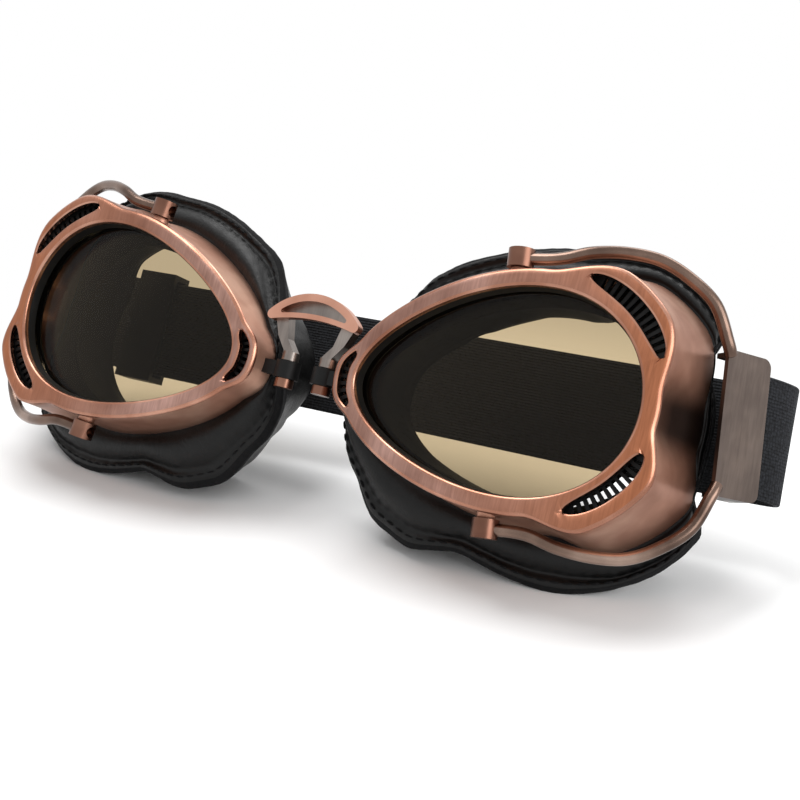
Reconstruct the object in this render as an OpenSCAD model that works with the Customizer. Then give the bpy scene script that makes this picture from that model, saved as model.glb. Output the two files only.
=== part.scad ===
// Steampunk goggles: two canted eyecups hinged to a nose bridge, each with a swinging
// wire arm that carries one end of an elastic strap. Millimetres, X across the face
// (the wearer's left is -X as drawn), Y away from the viewer, Z up. The goggles are
// drawn as they stand on their pads, tipped back by rest_tip, with the floor at Z = 0.

/* [Resting pose] */
// Angle by which the goggles lean back on their pads
rest_tip = 29.4; // [24:0.2:34]
// Depth of the flat that the floor presses into the pads
rest_flat = 0.5; // [0.2:0.1:1]

/* [Eye opening] */
// Half of the length of the eye opening
eye_half_l = 34.9; // [33:0.1:37]
// Half of the height of the eye opening
eye_half_h = 23; // [21.5:0.1:24.5]
// How much slimmer the nose end is than the temple end
eye_point = 0.26; // [0.1:0.01:0.32]
// Distance from the middle of the goggles to the nose end of an eye opening
eye_gap = 18.2; // [17.6:0.1:20]
// Height of an eye opening's middle above the tops of the nose hinges
eye_z = 1.2; // [0:0.1:2.4]
// Angle by which the temple end of each eyecup is raised
eye_cant = 6.5; // [4:0.1:8]

/* [Eye frame] */
// Width of the plain front ring
ring_w = 4.3; // [3.9:0.1:4.8]
// Extra width of the ring round the upper vent slot
upper_bulge = 5.6; // [5:0.1:6.2]
// Extra width of the ring round the lower vent slot
lower_bulge = 5.4; // [4.8:0.1:6]
// Extra width of the ring round the nose vent slot
nose_bulge = 2.5; // [2.1:0.1:3]
// Thickness of the front plate
plate_t = 1.6; // [1.2:0.1:2]
// Thickness of the side skirt
skirt_t = 1.6; // [1.2:0.1:2]
// How far the front face lies in front of the nose hinge
face_front = 10.2; // [9:0.1:12]
// How far the ends of the front face fall back behind its middle
face_sag = 2.6; // [1.5:0.1:3.5]
// Distance behind the nose hinge of the skirt's back rim, at the eye's middle
seat_y = 9; // [8:0.1:10]
// Rise of the back rim towards the temple, per millimetre
seat_slope = 0.17; // [0.12:0.01:0.2]
// Flare of the skirt at the nose
flare_nose = 0.8; // [0.6:0.1:1.2]
// Extra flare of the skirt at the temple
flare_temple = 3; // [2:0.1:3.6]
// Width of the widest vent slot
slot_w = 3.9; // [3.2:0.1:4.1]

/* [Lens] */
// Depth of the lens behind the front face
lens_depth = 4.2; // [3.6:0.1:5]
// Thickness of the lens
lens_t = 1.8; // [1.4:0.1:2.2]
// How far the lens reaches into its gasket
lens_grip = 0.7; // [0.4:0.1:0.9]
// Outer wall of the gasket, measured outwards from the eye opening
gasket_w = 1.9; // [1.6:0.1:2.1]
// Thickness of the vent grilles
grille_t = 1.2; // [0.8:0.1:1.5]
// Spacing of the grille's ribs
grille_pitch = 1.75; // [1.6:0.05:2.2]
// Width of the slits between the ribs
grille_slit = 0.9; // [0.6:0.05:1]

/* [Pad] */
// Width of the pad beyond the eye opening, where it is plain
pad_w = 15.4; // [14.6:0.1:16]
// Distance behind the nose hinge of the pad's back face, at the eye's middle
pad_back = 30; // [28:0.1:31]
// Rise of the pad's back face towards the temple, per millimetre
pad_back_slope = 0.08; // [0.04:0.01:0.1]
// Thickness of the fabric lining on the back of the pad
lining_t = 1; // [0.6:0.1:1.4]

/* [Nose bridge] */
// Distance of each nose hinge from the middle
hinge_x = 5.5; // [5:0.1:6]
// Distance of the nose hinges behind the front of the hinge loops
hinge_y = 0.4; // [0:0.1:0.8]
// Diameter of the nose hinge pins
nose_pin_d = 2.4; // [2:0.1:2.6]
// Running clearance, on the radius, of every hinge pin
run_gap = 0.06; // [0.04:0.01:0.08]
// Outer diameter of the black hinge loop
knuckle_d = 6.4; // [5.6:0.1:7]
// Height of the hinge loop
knuckle_h = 4.4; // [3.8:0.1:4.8]
// Half of the width of the crescent
crescent_half_w = 13.6; // [12.5:0.1:14]
// Radius of the crescent's upper edge
crescent_r = 17.5; // [17:0.1:19]
// Height of the crescent's top above the hinges
crescent_top = 17; // [16:0.1:18]
// Width of the crescent's rim at its window
crescent_rim = 1.9; // [1.5:0.1:2.3]
// Thickness of the crescent, front to back
crescent_t = 2.5; // [2:0.1:3]
// Thickness of the yoke plate behind the crescent's window
yoke_t = 1.2; // [0.8:0.1:1.6]

/* [Arms] */
// Distance of the arm's pivot axis from the eye opening's middle, towards the temple
pivot_x = 2.5; // [1:0.1:4]
// Distance of the arm's pivot axis in front of the nose hinge
pivot_front = 5.4; // [5.2:0.1:5.6]
// Diameter of the pivot barrels
barrel_d = 6.2; // [5.4:0.1:6.8]
// Height of the pivot barrels
barrel_h = 4.4; // [4:0.1:5]
// Diameter of the barrel's journal, which turns in the eye frame
journal_d = 2.4; // [2:0.1:2.6]
// Diameter of the arm's wire
wire_d = 2.9; // [2.4:0.1:3.2]

/* [Strap bracket] */
// Width of the bracket plate
bracket_w = 12.8; // [12:0.1:14]
// Room between the strap's edge and each ear of the bracket
bracket_play = 0.75; // [0.5:0.05:1]
// Thickness of the bracket plate and of its ears
bracket_t = 1.2; // [1:0.1:1.4]
// Angle of the bracket plate from the line across the face
bracket_turn = 55; // [50:1:60]
// Diameter of the strap bar
bar_d = 2.5; // [2:0.1:2.8]

/* [Strap] */
// Width of the elastic strap
strap_w = 28.5; // [27:0.1:29]
// Thickness of the elastic strap
strap_t = 1.6; // [1.2:0.1:1.8]
// Height of the strap's middle above the nose hinges
strap_z = 6.3; // [5:0.1:8]
// Distance behind the nose hinge of the strap's back run
strap_y = 41.8; // [40:0.1:44]
// Gap between the two layers where the halves overlap
strap_gap = 0.3; // [0.2:0.05:0.5]
// Where the long half ends, measured from the middle
long_end = 85; // [83:1:87]
// Where the short half ends, measured from the middle
short_end = 32; // [20:1:45]
// Where the adjuster sits, measured from the middle
adjuster_x = 83; // [60:0.5:83.5]
// Length of the adjuster along the strap
adjuster_l = 13; // [10:1:13]
// Play between the strap's edges and the adjuster
adjuster_play = 0.9; // [0.8:0.1:1.5]
// Wall of the adjuster
adjuster_wall = 1.5; // [1.2:0.1:2]

/* [Hidden] */
$fn = 64;

// Distance from the middle of the goggles to the middle of an eye opening
eye_x = eye_gap + eye_half_l;
// Small gap between pieces that only rest on each other
slip = 0.05;
// How far the sewn eye of the strap stands out past the strap's edges
hem = 0.3;
// Rounding of the ring's edges
edge_r = 1.2;
// Angular step, in degrees, of the outlines that go round an eye
fine_step = 4;
coarse_step = 6;
pad_step = 6;

// Vent slots: middle angle, half of the angle it spans, distance of its middle from
// the opening, half of its width
UPPER_SLOT = [36, 20.5, 5, slot_w/2];
NOSE_SLOT = [179, 17.3, 4, slot_w*0.35];
LOWER_SLOT = [322, 17.8, 4.1, slot_w/2];
SLOTS = [UPPER_SLOT, NOSE_SLOT, LOWER_SLOT];

// Egg-shaped line of the eye opening, in the eyecup's own X and Z

function egg(t) = [eye_half_l*cos(t), eye_half_h*sin(t)*(1 + eye_point*cos(t))];

function egg_normal(t) =
    let (dx = -eye_half_l*sin(t),
         dz = eye_half_h*(cos(t) + eye_point*cos(2*t)),
         m = norm([dx, dz]))
    [dz/m, -dx/m];

function around(t, off) = egg(t) + off*egg_normal(t);

// Smallest angle between two directions, and a smooth hump of height 1 around one
function turn_between(a, b) = abs(((a - b + 540) % 360) - 180);
function smooth(u) = let (v = min(1, max(0, u))) v*v*(3 - 2*v);
function hump(t, mid, flat, fall) = 1 - smooth((turn_between(t, mid) - flat)/fall);

// 0 at the nose end of the eyecup, 1 at its temple end
function temple_share(t) = (1 + cos(t))/2;

function face_w(t) = ring_w + upper_bulge*hump(t, 37, 8, 27)
    + lower_bulge*hump(t, 320, 11, 20) + nose_bulge*hump(t, 179, 6, 18);
function flare(t) = flare_nose + flare_temple*temple_share(t)*temple_share(t);
function skirt_w(t) = face_w(t) + flare(t);

// Depth of the front face and of the back rim at the eyecup's own X
function face_y(x) = -face_front + face_sag*pow(x/eye_half_l, 2);
function rim_y(x) = seat_y + seat_slope*x;
function back_y(x) = pad_back + pad_back_slope*x;

function on_face(t, off, deep) = let (p = around(t, off)) [p.x, face_y(p.x) + deep, p.y];
function on_rim(t, off, deep) = let (p = around(t, off)) [p.x, rim_y(p.x) + deep, p.y];
function on_back(t, off, deep) = let (p = around(t, off)) [p.x, back_y(p.x) + deep, p.y];
function between(a, b, u) = a + (b - a)*u;

// From the eyecup's own axes to the worn goggles, and from there to the resting pose

function worn(p) = [
    eye_x + p.x*cos(eye_cant) - p.z*sin(eye_cant), p.y,
    eye_z + p.x*sin(eye_cant) + p.z*cos(eye_cant)];
function tipped(p) = [
    p.x, p.y*cos(rest_tip) + p.z*sin(rest_tip), -p.y*sin(rest_tip) + p.z*cos(rest_tip)];

module resting() translate([0, rest_back, rest_up]) rotate([-rest_tip, 0, 0]) children();
module eyecup() resting() translate([eye_x, 0, eye_z]) rotate([0, -eye_cant, 0]) children();
module side(s) {
    if (s < 0) mirror([1, 0, 0]) children();
    else children();
}
// Extrudes a drawing in X and Z along +Y
module plate_xz(y, t) translate([0, y + t, 0]) rotate([90, 0, 0]) linear_extrude(t) children();

// Solids made of rings of points

function quad(a, b, c, d) = [[a, b, c], [a, c, d]];
function flat(list) = [for (l = list) each l];
function backwards(list) = [for (k = [len(list) - 1:-1:0]) list[k]];
function turned(faces) = [for (f = faces) backwards(f)];

// Rings joined into an endless loop
module loop_solid(rings) {
    n = len(rings);
    m = len(rings[0]);
    polyhedron(flat(rings), flat([for (i = [0:n - 1], j = [0:m - 1])
        let (i2 = (i + 1) % n, j2 = (j + 1) % m)
        quad(i*m + j, i*m + j2, i2*m + j2, i2*m + j)]));
}
// Rings joined into a bar with closed ends
module bar_solid(rings) {
    n = len(rings);
    m = len(rings[0]);
    polyhedron(flat(rings), concat(
        flat([for (i = [0:n - 2], j = [0:m - 1])
            let (j2 = (j + 1) % m) quad(i*m + j2, i*m + j, (i + 1)*m + j, (i + 1)*m + j2)]),
        [[for (j = [0:m - 1]) j]], [[for (j = [m - 1:-1:0]) (n - 1)*m + j]]));
}

// Smooth curve through a list of points
function curve_point(a, b, c, d, u) =
    0.5*(2*b + (c - a)*u + (2*a - 5*b + 4*c - d)*u*u + (3*b - a - 3*c + d)*u*u*u);
function smooth_path(p, parts) = let (n = len(p)) concat(
    [for (i = [0:n - 2], k = [0:parts - 1])
        curve_point(p[max(0, i - 1)], p[i], p[i + 1], p[min(n - 1, i + 2)], k/parts)],
    [p[n - 1]]);
function unit(v) = v/norm(v);
function heading(p, i) = unit(p[min(len(p) - 1, i + 1)] - p[max(0, i - 1)]);

// Eye frame

// Angles round the frame, with a step at both ends of each slot: [angle, slot is open]
function stretch(a, b, open) =
    let (n = ceil((b - a)/fine_step)) [for (k = [0:n - 1]) [a + (b - a)*k/n, open]];
function slot_start(s) = s[0] - s[1];
function slot_end(s) = s[0] + s[1];
frame_angles = concat(
    stretch(slot_start(UPPER_SLOT), slot_end(UPPER_SLOT), true),
    stretch(slot_end(UPPER_SLOT), slot_start(NOSE_SLOT), false),
    stretch(slot_start(NOSE_SLOT), slot_end(NOSE_SLOT), true),
    stretch(slot_end(NOSE_SLOT), slot_start(LOWER_SLOT), false),
    stretch(slot_start(LOWER_SLOT), slot_end(LOWER_SLOT), true),
    stretch(slot_end(LOWER_SLOT), slot_start(UPPER_SLOT) + 360, false));

// Half of the slot's width at an angle, and the place of its middle line
slot_tip = 0.45;
function slot_half(t, s) = let (u = turn_between(t, s[0])/s[1])
    u > 1.001 ? 0 : max(slot_tip, s[3]*sqrt(max(0, 1 - pow(u, 4))));
function half_w(t) = max(0.3, max([for (s = SLOTS) slot_half(t, s)]));
function middle_off(t) =
    let (s = [for (s = SLOTS) if (turn_between(t, s[0]) <= s[1]*1.001) s])
    len(s) == 0 ? face_w(t)/2 : min(s[0][2], face_w(t) - skirt_t - half_w(t) - 0.2);

function frame_section(t) =
    let (w = face_w(t), f = flare(t), c = middle_off(t), h = half_w(t),
         corner = on_face(t, w, edge_r), rim = on_rim(t, w + f, 0),
         waist = on_face(t, w + 0.35*f, 0), waist_in = on_face(t, w + 0.35*f - skirt_t, 0))
    [on_face(t, 0, plate_t), on_face(t, 0, 0.6), on_face(t, 0.5, 0),
     on_face(t, c - h, 0), on_face(t, c + h, 0),
     on_face(t, w - edge_r, 0), on_face(t, w - 0.35, 0.35), corner,
     [waist.x, between(corner.y, rim.y, 0.55), waist.z],
     rim, on_rim(t, w + f - skirt_t, 0),
     [waist_in.x, between(corner.y, rim.y, 0.55), waist_in.z],
     on_face(t, w - skirt_t, plate_t),
     on_face(t, c + h, plate_t), on_face(t, c - h, plate_t)];
// Corners of the section at which a slot cuts the front and the back of the plate
slot_front = 3;
slot_back = 13;

module frame_shell() {
    rings = [for (a = frame_angles) frame_section(a[0])];
    n = len(rings);
    m = len(rings[0]);
    faces = flat([for (i = [0:n - 1])
        let (k = (i + 1) % n, open = frame_angles[i][1],
             before = frame_angles[(i + n - 1) % n][1])
        flat(concat(
            [for (j = [0:m - 1]) if (!(open && (j == slot_front || j == slot_back)))
                let (j2 = (j + 1) % m) quad(i*m + j, i*m + j2, k*m + j2, k*m + j)],
            open ? [
                quad(k*m + slot_front, i*m + slot_front, i*m + slot_back + 1, k*m + slot_back + 1),
                quad(i*m + slot_front + 1, k*m + slot_front + 1, k*m + slot_back, i*m + slot_back)]
                : [],
            open && !before ? [quad(i*m + slot_front, i*m + slot_front + 1,
                                    i*m + slot_back, i*m + slot_back + 1)] : [],
            before && !open ? [quad(i*m + slot_front + 1, i*m + slot_front,
                                    i*m + slot_back + 1, i*m + slot_back)] : []))]);
    polyhedron(flat(rings), turned(faces));
}

// Outside of the frame at the arm's pivot axis, above and below
pivot_angle = acos(pivot_x/eye_half_l);
barrel_seat = 0.5 + max([for (t = [pivot_angle - 8:1:pivot_angle + 8])
    around(t, face_w(t) + 0.15*flare(t)).y]);
boss_r = journal_d/2 + 1;
boss_in = around(pivot_angle, gasket_w).y + 0.25;

module at_pivot(up) translate([pivot_x, -pivot_front, 0]) rotate([up > 0 ? 0 : 180, 0, 0]) children();

module eye_frame() color("#b4714f") eyecup() difference() {
    union() {
        frame_shell();
        for (up = [-1, 1]) at_pivot(up) translate([0, 0, boss_in])
            cylinder(r = boss_r, h = barrel_seat - boss_in);
    }
    for (up = [-1, 1]) at_pivot(up) translate([0, 0, boss_in - 1])
        cylinder(d = journal_d + 2*run_gap, h = barrel_seat - boss_in + 2);
}

// Lens, gasket and vent grilles

function ring_angles(step) = [for (k = [0:360/step - 1]) k*step];

function lens_point(t, share, deep) =
    let (p = around(t, lens_grip)*share) [p.x, face_y(p.x) + deep, p.y];

module lens() color("#1d1c1b", 0.8) eyecup() {
    angles = ring_angles(coarse_step);
    n = len(angles);
    front = lens_depth;
    back = lens_depth + lens_t;
    rings = [
        [for (t = angles) lens_point(t, 0.4, front)], [for (t = angles) lens_point(t, 0.75, front)],
        [for (t = angles) lens_point(t, 1, front)], [for (t = angles) lens_point(t, 1, back)],
        [for (t = angles) lens_point(t, 0.75, back)], [for (t = angles) lens_point(t, 0.4, back)]];
    last = len(rings) - 1;
    middle = len(rings)*n;
    polyhedron(
        concat(flat(rings), [[0, face_y(0) + front, 0], [0, face_y(0) + back, 0]]),
        turned(concat(
            flat([for (r = [0:last - 1], j = [0:n - 1]) let (k = (j + 1) % n)
                quad(r*n + j, (r + 1)*n + j, (r + 1)*n + k, r*n + k)]),
            [for (j = [0:n - 1]) [middle, j, (j + 1) % n]],
            [for (j = [0:n - 1]) [middle + 1, last*n + (j + 1) % n, last*n + j]])));
}

gasket_lip = 0.4;
gasket_front = plate_t + slip;
gasket_end = lens_depth + lens_t + 0.7;

module lens_gasket() color("#101010") eyecup()
    loop_solid([for (t = ring_angles(coarse_step)) [
        on_face(t, 0, gasket_front), on_face(t, -gasket_lip, lens_depth - slip),
        on_face(t, lens_grip + slip, lens_depth - slip),
        on_face(t, lens_grip + slip, lens_depth + lens_t + slip),
        on_face(t, -gasket_lip, lens_depth + lens_t + slip), on_face(t, -gasket_lip, gasket_end),
        on_face(t, gasket_w, gasket_end), on_face(t, gasket_w, gasket_front)]]);

// One grille lies flat behind its slot, between the gasket and the skirt
grille_over = 3;
function grille_in() = gasket_w + slip;
function grille_out(t) = face_w(t) - skirt_t - slip;
function grille_angles(s) = [for (k = [0:12]) s[0] + (s[1] + grille_over)*(k/6 - 1)];
function grille_y(s) = plate_t + slip + max([for (t = grille_angles(s)) face_y(around(t, grille_out(t)).x)]);
function slit_step(s) = grille_pitch/norm(around(s[0] + 1, s[2]) - around(s[0], s[2]));

module vent_grille(s) plate_xz(grille_y(s), grille_t) difference() {
    polygon(concat([for (t = grille_angles(s)) around(t, grille_in())],
        [for (k = [12:-1:0]) let (t = grille_angles(s)[k]) around(t, grille_out(t))]));
    slits = floor((s[1] - 2)/slit_step(s));
    for (k = [-slits:slits]) {
        t = s[0] + k*slit_step(s);
        n = egg_normal(t);
        translate(around(t, middle_off(t))) rotate(atan2(n.y, n.x))
            square([2*half_w(t) - 0.2, grille_slit], center = true);
    }
}

module vent_grilles() color("#0c0c0c") eyecup() for (s = SLOTS) vent_grille(s);

// Pad: a stuffed ring with a crown, a sewn channel and a lip, and a fabric lining

function pad_edge(t) = pad_w + 4.3*hump(t, 306, 10, 38) + 5.2*hump(t, 236, 5, 22)
    + 2.6*hump(t, 44, 6, 26) - 7.2*hump(t, 166, 12, 34) - 5.4*hump(t, 358, 21, 8);
// Towards the nose the lip lies deeper than the frame's back rim
function lip_drop(t) = 5.5*hump(t, 212, 16, 30) + 3.5*hump(t, 137, 6, 24);
// Behind the lip the pad is drawn in so that its underside lies along the floor
function pad_run(t) = let (x = around(t, pad_w/2).x) back_y(x) - 2.6 - rim_y(x) - 4.2 - lip_drop(t);
function pad_back_off(t) = max(5.2, pad_edge(t) - 1.8 - tan(rest_tip)*pad_run(t));
// Edge of the pad's opening: wider above the nose side, narrower above the temple side
function pad_inner(t) = min(2.2*hump(t, 118, 22, 40) + 6*hump(t, 42, 9, 20),
    pad_back_off(t) - 3.4);

function pad_section(t) =
    let (w = pad_edge(t), s = skirt_w(t) + 0.3, g = w - s, h = min(1, g/6), d = lip_drop(t),
         lip = on_rim(t, w - 0.6, 4.2 + d), b = pad_back_off(t), a = pad_inner(t),
         shoulder = on_back(t, b + 1.2, -2.6),
         waist = around(t, between(w - 0.9, b + 1.2, 0.45)),
         inner = around(t, -0.4 + 0.6*a))
    [on_rim(t, 0, 0), on_rim(t, s, 0), on_rim(t, s + 0.3*g, 0.1*d - 0.7*h),
     on_rim(t, s + 0.55*g, 0.3*d + 0.5*h), on_rim(t, s + 0.68*g, 0.5*d + 1.5*h),
     on_rim(t, s + 0.8*g, 0.7*d + h), on_rim(t, s + 0.95*g, 0.95*d + 1.5*h),
     on_rim(t, w, 2.6 + d), lip,
     [waist.x, between(lip.y, shoulder.y, 0.45), waist.y],
     shoulder, on_back(t, b - 0.6, -lining_t), on_back(t, 1 + a, -lining_t),
     [inner.x, between(rim_y(inner.x), back_y(inner.x), 0.6), inner.y]];

pad_points = [for (t = ring_angles(pad_step)) [for (p = pad_section(t)) tipped(worn(p))]];
lining_points = [for (t = ring_angles(pad_step)) [for (p = [
    on_back(t, 1 + pad_inner(t), -lining_t), on_back(t, pad_back_off(t) - 0.6, -lining_t),
    on_back(t, pad_back_off(t) - 1, 0), on_back(t, 1.3 + pad_inner(t), 0)]) tipped(worn(p))]];

module from_floor_up() intersection() {
    children();
    translate([0, -100, 0]) cube([200, 200, 200]);
}
module pad() color("#161616") from_floor_up() loop_solid([for (r = pad_points)
    backwards([for (p = r) p + [0, rest_back, rest_up]])]);
module pad_lining() color("#222224") from_floor_up() loop_solid([for (r = lining_points)
    backwards([for (p = r) p + [0, rest_back, rest_up]])]);

// The floor lies where the pads reach lowest, less the flat; the middle of the depth
// lies between the front of the lower vent bulge and the back of the strap
rest_up = -min([for (r = pad_points) min([for (p = r) p.z])]) - rest_flat;
front_y = min([for (a = frame_angles) for (off = [-edge_r, -0.35])
    tipped(worn(on_face(a[0], face_w(a[0]) + off, off == -edge_r ? 0 : 0.35))).y]);
strap_out = strap_y + strap_t/2;
adjuster_out = strap_out + strap_gap + adjuster_wall;
back_top = tipped([0, adjuster_out, strap_z + strap_w/2 + adjuster_play + adjuster_wall]).y;
rest_back = -(front_y + back_top)/2;

// Nose bridge: the copper crescent, the grey yoke behind it, and the hinge pins

crescent_y = -3;
bar_r = 49;
bar_rise = 10.5;
window_bar = 1.3;
knuckle_top = -0.6;
knuckle_low = knuckle_top - knuckle_h;
pin_head_d = 4.8;
pin_head_h = 2.2;
lug_h = 2.2;

module crescent_2d(inset, ends) intersection() {
    difference() {
        translate([0, crescent_top - crescent_r]) circle(crescent_r - inset, $fn = 180);
        translate([0, bar_rise - bar_r + (inset > 0 ? window_bar : 0)]) circle(bar_r, $fn = 360);
    }
    square([2*ends, 80], center = true);
}

// Corners of a flat outline rounded off to a radius
module rounded(r) offset(r = r, $fn = 40) offset(delta = -r) children();

module bridge_crescent() color("#b97a58") resting() plate_xz(crescent_y, crescent_t) difference() {
    rounded(1.3) crescent_2d(0, crescent_half_w);
    rounded(0.55) crescent_2d(crescent_rim, crescent_half_w - 2.3);
}

module leg_2d() polygon([
    [crescent_half_w - 1.6, bar_rise + 0.4], [crescent_half_w - 5.4, bar_rise + 1],
    [hinge_x + 1.2, 5], [hinge_x - 1.5, lug_h - 0.6], [hinge_x - 1.5, knuckle_top + 0.2],
    [hinge_x + 1.5, knuckle_top + 0.2], [hinge_x + 1.6, lug_h - 0.2], [hinge_x + 4.2, 5.4]]);

module bridge_yoke() color("#6f6a66") resting() difference() {
    union() {
        plate_xz(crescent_y + crescent_t, yoke_t) crescent_2d(0.5, crescent_half_w - 0.8);
        for (s = [-1, 1]) side(s) {
            plate_xz(hinge_y - 1.6, 3.2) leg_2d();
            translate([hinge_x, hinge_y, knuckle_top + 0.2])
                cylinder(d = nose_pin_d + 2, h = lug_h);
        }
    }
    for (s = [-1, 1]) side(s) translate([hinge_x, hinge_y, knuckle_top - 1])
        cylinder(d = nose_pin_d, h = lug_h + 0.8);
}

module nose_pin() color("#b4714f") resting() translate([hinge_x, hinge_y, 0]) {
    translate([0, 0, knuckle_low - 0.1]) cylinder(d = nose_pin_d, h = knuckle_h + lug_h - 0.2);
    translate([0, 0, knuckle_low - 0.1 - pin_head_h]) cylinder(d = pin_head_d, h = pin_head_h);
}

// The black loop turns on the nose pin, and its tongue is set into the frame's nose end
nose_wall_x = worn(on_face(180, skirt_w(180), 0)).x;
tongue_in = 0.7;

module hinge_loop() color("#151515") resting() difference() {
    union() {
        translate([hinge_x, hinge_y, knuckle_low]) cylinder(d = knuckle_d, h = knuckle_h);
        translate([hinge_x + 1.5, hinge_y - 2.2, knuckle_low + 0.4])
            cube([nose_wall_x + tongue_in - hinge_x - 1.5, 2.4, knuckle_h - 0.8]);
    }
    translate([hinge_x, hinge_y, knuckle_low - 1])
        cylinder(d = nose_pin_d + 2*run_gap, h = knuckle_h + 2);
}

// Arms: two pivot barrels, the wire between them, and the bracket that holds the strap

wire_z = barrel_seat + 0.1 + barrel_h/2;

module pivot_barrel(up) color("#b4714f") eyecup() at_pivot(up) difference() {
    union() {
        translate([0, 0, barrel_seat + 0.1]) cylinder(d = barrel_d, h = barrel_h);
        translate([0, 0, boss_in]) cylinder(d = journal_d, h = barrel_seat + 0.6 - boss_in);
    }
    translate([-barrel_d, 0, wire_z]) rotate([0, 90, 0]) cylinder(d = wire_d + slip, h = 2*barrel_d);
}

// Front edge of the bracket in the eyecup's own X and Y, and the drop of its middle
bracket_at = [eye_half_l + 13.4, 11];
bracket_drop = 0.5;
bracket_h = strap_w + 2*hem + 2*bracket_play + 2*bracket_t;
bracket_end = bracket_h/2 - 2;
WIRE_ROUTE = [
    [pivot_x + 2, -pivot_front, wire_z], [9.5, -pivot_front, wire_z], [13.5, -5.2, wire_z + 0.5],
    [19, -3.8, wire_z + 2.2],
    [bracket_at.x - 22.3, -0.8, wire_z + 3.1], [bracket_at.x - 15.3, 2.4, wire_z + 2.4],
    [bracket_at.x - 9, 5, wire_z - 0.9], [bracket_at.x - 3.4, 7.6, wire_z - 6],
    [bracket_at.x - 0.4, bracket_at.y - 1.1, bracket_end + 3],
    [bracket_at.x + 0.3, bracket_at.y + 0.7, bracket_end]];

function wire_rings(path, r, sides) = [for (i = [0:len(path) - 1])
    let (h = heading(path, i), a = unit(cross(h, [0.35, -1, 0.2])), b = cross(h, a))
    [for (k = [0:sides - 1]) path[i] + r*(a*cos(360*k/sides) + b*sin(360*k/sides))]];

module arm_wire() color("#9a8173") eyecup() for (up = [-1, 1]) mirror([0, 0, up < 0 ? 1 : 0]) {
    bar_solid(wire_rings(smooth_path(WIRE_ROUTE, 3), wire_d/2, 10));
    translate([pivot_x - 0.5, -pivot_front, wire_z]) rotate([0, 90, 0])
        cylinder(d = wire_d, h = 4);
}

bar_at = [8.6, 4.3];
ear_deep = 6.4;
bracket_r = 2.2;

module in_bracket() eyecup() translate([bracket_at.x, bracket_at.y, -bracket_drop])
    rotate([0, 0, bracket_turn]) children();

module bracket_outline() {
    square([bracket_w - 2*bracket_r, bracket_h], center = true);
    square([bracket_w, bracket_h - 2*bracket_r], center = true);
    for (x = [-1, 1], z = [-1, 1])
        translate([x*(bracket_w/2 - bracket_r), z*(bracket_h/2 - bracket_r)]) circle(bracket_r);
}

module strap_bracket() color("#7d6a60") in_bracket() difference() {
    union() {
        translate([bracket_w/2, 0, 0]) plate_xz(0, bracket_t) bracket_outline();
        for (z = [-bracket_h/2, bracket_h/2 - bracket_t])
            translate([bracket_r, 0, z]) cube([bracket_w - 2*bracket_r, ear_deep, bracket_t]);
    }
    translate([bar_at.x, bar_at.y, -bracket_h]) cylinder(d = bar_d, h = 2*bracket_h);
}

module strap_bar() color("#6f6a66") in_bracket() translate([bar_at.x, bar_at.y, -bracket_h/2])
    cylinder(d = bar_d, h = bracket_h);

// Strap: each half has an eye on its bar, goes round the outside and runs along the back

eye_hole_r = bar_d/2 + run_gap;
eye_r = eye_hole_r + 1.5;
function bracket_to_worn(p, z) = worn([
    bracket_at.x + p.x*cos(bracket_turn) - p.y*sin(bracket_turn),
    bracket_at.y + p.x*sin(bracket_turn) + p.y*cos(bracket_turn), z - bracket_drop]);
eye_at = bracket_to_worn(bar_at, 0);

// Middle line of a half, in X and Y: round the side, then straight along the back at y
function strap_route(y, end_x) = concat(smooth_path([
    [eye_at.x, eye_at.y], [eye_at.x + 3.4, eye_at.y + 4.9], [eye_at.x + 7.2, eye_at.y + 9.8],
    [eye_at.x + 8.6, eye_at.y + 14.2], [eye_at.x + 7.1, y - 3], [eye_at.x + 2.8, y - 0.6],
    [eye_at.x - 4, y], [eye_at.x - 9, y]], strap_parts), [[end_x, y]]);
strap_parts = 4;

function strap_rings(path) =
    [for (i = [0:len(path) - 1])
        let (h = heading(path, i), side = [-h.y, h.x]*strap_t/2,
             lean = eye_cant*(1 - smooth(i/(6*strap_parts))),
             z = between(eye_at.z, strap_z, smooth(i/(6*strap_parts))),
             up = [-sin(lean), 0, cos(lean)]*strap_w/2,
             c = [path[i].x, path[i].y, z], s = [side.x, side.y, 0])
        [c + up - s, c - up - s, c - up + s, c + up + s]];

module strap_half(y, end_x) difference() {
    union() {
        resting() bar_solid(strap_rings(strap_route(y, end_x)));
        in_bracket() translate([bar_at.x, bar_at.y, -strap_w/2 - hem])
            cylinder(r = eye_r, h = strap_w + 2*hem);
    }
    in_bracket() translate([bar_at.x, bar_at.y, -strap_w]) cylinder(r = eye_hole_r, h = 2*strap_w);
}

module strap_long() color("#191a1c") strap_half(strap_y, -long_end);
module strap_short() color("#191a1c") strap_half(strap_y - strap_t - strap_gap, short_end);

module strap_adjuster() color("#0e0e0e") resting()
    translate([-adjuster_x - adjuster_l/2, strap_out + strap_gap, strap_z]) difference() {
        deep = 2*strap_t + 3*strap_gap;
        high = strap_w + 2*adjuster_play;
        translate([0, -deep - adjuster_wall, -high/2 - adjuster_wall])
            cube([adjuster_l, deep + 2*adjuster_wall, high + 2*adjuster_wall]);
        translate([-1, -deep, -high/2]) cube([adjuster_l + 2, deep, high]);
        for (x = [2.2, adjuster_l/2 + 1]) translate([x, -0.5, -high/2 + 2])
            cube([adjuster_l/2 - 3.2, adjuster_wall + 1, high - 4]);
    }

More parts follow.
